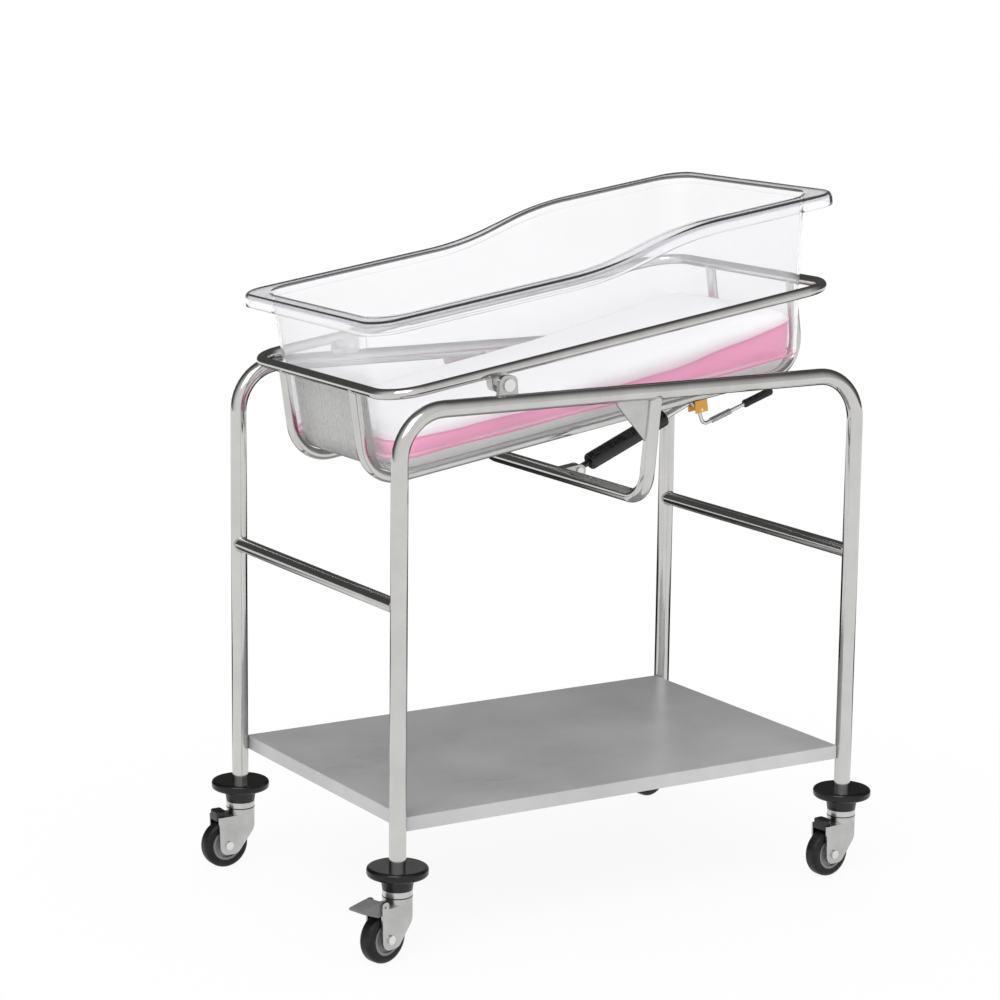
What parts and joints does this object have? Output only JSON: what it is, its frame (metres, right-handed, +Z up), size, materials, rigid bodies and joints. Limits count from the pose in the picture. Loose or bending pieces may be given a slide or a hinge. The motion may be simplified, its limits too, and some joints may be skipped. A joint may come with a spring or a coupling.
{
  "type": "hospital bassinet",
  "caption": "wheeled newborn bassinet: bent tube stand on braked swivel casters, tilting cradle held by a gas strut with a hand release, clear lift-out tub, mattress and sheet",
  "frame": {"origin": "on the floor, midway between the four legs, where their axes' rectangle has its centre", "axes": "+X along the length towards the raised head end, +Y across to the far side, +Z up"},
  "size_m": [0.9278, 0.59, 1.0685],
  "materials": {
    "polished_tube": "bright polished stainless tube",
    "shelf_sheet": "brushed stainless sheet",
    "fork_metal": "bright zinc plated pressed steel",
    "fastener_metal": "bright plated pins and bolts",
    "bumper_rubber": "matt black rubber",
    "mount_plastic": "black moulded cup over a plated stem",
    "tyre_rubber": "black solid tyre",
    "hub_plastic": "dark grey moulded hub",
    "pedal_plastic": "mid grey moulded pedal",
    "strut_black": "black satin paint",
    "rod_metal": "polished hard chrome",
    "release_orange": "orange moulded plastic",
    "grip_rubber": "black dipped grip",
    "tub_clear": "clear moulded acrylic",
    "mattress_pink": "pink coated foam",
    "sheet_white": "white woven cotton"
  },
  "bodies": {
    "stand": {"near_side_arch": "polished_tube", "far_side_arch": "polished_tube", "foot_crossbar": "polished_tube", "head_crossbar": "polished_tube", "shelf": "shelf_sheet", "drop_yoke": "polished_tube", "near_gusset": "polished_tube", "far_gusset": "polished_tube", "near_pivot_bracket": "polished_tube", "far_pivot_bracket": "polished_tube", "strut_base_lug": "polished_tube", "strut_lower_pin": "fastener_metal", "near_foot_bumper_disc": "bumper_rubber", "near_foot_caster_mount": "mount_plastic", "near_head_bumper_disc": "bumper_rubber", "near_head_caster_mount": "mount_plastic", "far_foot_bumper_disc": "bumper_rubber", "far_foot_caster_mount": "mount_plastic", "far_head_bumper_disc": "bumper_rubber", "far_head_caster_mount": "mount_plastic"},
    "cradle": {"ring_rail": "polished_tube", "near_hoop": "polished_tube", "far_hoop": "polished_tube", "near_ring_lug": "polished_tube", "far_ring_lug": "polished_tube", "near_pivot_pin": "fastener_metal", "far_pivot_pin": "fastener_metal", "near_spacer_bush": "fastener_metal", "far_spacer_bush": "fastener_metal", "strut_cross_bar": "polished_tube", "strut_top_bracket": "polished_tube", "release_head": "release_orange", "lever_pin": "fastener_metal"},
    "strut_cylinder": {"gas_cylinder": "strut_black"},
    "strut_rod": {"gas_rod": "rod_metal", "strut_upper_pin": "fastener_metal"},
    "release_lever": {"lever_wire": "fastener_metal", "lever_grip": "grip_rubber"},
    "tub": {"basin": "tub_clear", "mattress": "mattress_pink", "sheet": "sheet_white"},
    "near_foot_swivel": {"near_foot_caster_fork": "fork_metal", "near_foot_axle": "fastener_metal"},
    "near_foot_wheel": {"near_foot_wheel_hub": "hub_plastic", "near_foot_tyre": "tyre_rubber"},
    "near_foot_brake": {"near_foot_brake_pedal": "pedal_plastic"},
    "near_head_swivel": {"near_head_caster_fork": "fork_metal", "near_head_axle": "fastener_metal"},
    "near_head_wheel": {"near_head_wheel_hub": "hub_plastic", "near_head_tyre": "tyre_rubber"},
    "far_foot_swivel": {"far_foot_caster_fork": "fork_metal", "far_foot_axle": "fastener_metal"},
    "far_foot_wheel": {"far_foot_wheel_hub": "hub_plastic", "far_foot_tyre": "tyre_rubber"},
    "far_head_swivel": {"far_head_caster_fork": "fork_metal", "far_head_axle": "fastener_metal"},
    "far_head_wheel": {"far_head_wheel_hub": "hub_plastic", "far_head_tyre": "tyre_rubber"},
    "far_head_brake": {"far_head_brake_pedal": "pedal_plastic"}
  },
  "joints": [
    {"name": "cradle_tilt", "type": "hinge", "parent": "stand", "child": "cradle", "pos_m": [-0.223, 0, 0.818], "axis": [0, -1, 0], "range_deg": [-8.7, 3.3]},
    {"name": "strut_swing", "type": "hinge", "parent": "stand", "child": "strut_cylinder", "pos_m": [0.056, 0, 0.632], "axis": [0, -1, 0], "range_deg": [-16.82, 6.5]},
    {"name": "strut_rod_slide", "type": "slide", "parent": "strut_cylinder", "child": "strut_rod", "axis": [0.9189, 0, 0.3944], "range_m": [-0.04008, 0.01552]},
    {"name": "release_lever_squeeze", "type": "hinge", "parent": "cradle", "child": "release_lever", "pos_m": [0.28449, 0, 0.71025], "axis": [0, -1, 0], "range_deg": [0, 12], "stiffness_Nm_per_rad": 0.6},
    {"name": "tub_lift", "type": "slide", "parent": "cradle", "child": "tub", "axis": [-0.1513, 0, 0.9885], "range_m": [0, 0.3]},
    {"name": "near_foot_swivel_turn", "type": "hinge", "parent": "stand", "child": "near_foot_swivel", "pos_m": [-0.4, -0.25, 0.0937], "axis": [0, 0, 1], "continuous": true},
    {"name": "near_foot_wheel_roll", "type": "hinge", "parent": "near_foot_swivel", "child": "near_foot_wheel", "pos_m": [-0.42808, -0.25726, 0.0375], "axis": [-0.2504, 0.9681, 0], "continuous": true},
    {"name": "near_foot_brake_press", "type": "hinge", "parent": "near_foot_swivel", "child": "near_foot_brake", "pos_m": [-0.43873, -0.26001, 0.088], "axis": [0.2504, -0.9681, 0], "range_deg": [0, 12]},
    {"name": "near_head_swivel_turn", "type": "hinge", "parent": "stand", "child": "near_head_swivel", "pos_m": [0.4, -0.25, 0.0937], "axis": [0, 0, 1], "continuous": true},
    {"name": "near_head_wheel_roll", "type": "hinge", "parent": "near_head_swivel", "child": "near_head_wheel", "pos_m": [0.37116, -0.25303, 0.0375], "axis": [-0.1045, 0.9945, 0], "continuous": true},
    {"name": "far_foot_swivel_turn", "type": "hinge", "parent": "stand", "child": "far_foot_swivel", "pos_m": [-0.4, 0.25, 0.0937], "axis": [0, 0, 1], "continuous": true},
    {"name": "far_foot_wheel_roll", "type": "hinge", "parent": "far_foot_swivel", "child": "far_foot_wheel", "pos_m": [-0.429, 0.24949, 0.0375], "axis": [-0.0175, 0.9998, 0], "continuous": true},
    {"name": "far_head_swivel_turn", "type": "hinge", "parent": "stand", "child": "far_head_swivel", "pos_m": [0.4, 0.25, 0.0937], "axis": [0, 0, 1], "continuous": true},
    {"name": "far_head_wheel_roll", "type": "hinge", "parent": "far_head_swivel", "child": "far_head_wheel", "pos_m": [0.37163, 0.24397, 0.0375], "axis": [-0.2079, 0.9781, 0], "continuous": true},
    {"name": "far_head_brake_press", "type": "hinge", "parent": "far_head_swivel", "child": "far_head_brake", "pos_m": [0.36087, 0.24168, 0.088], "axis": [0.2079, -0.9781, 0], "range_deg": [0, 12]}
  ],
  "couplings": [
    {"joint": "strut_swing", "follows": "cradle_tilt", "ratio": 1.91},
    {"joint": "strut_rod_slide", "follows": "cradle_tilt", "m_per_rad": 0.2607}
  ]
}
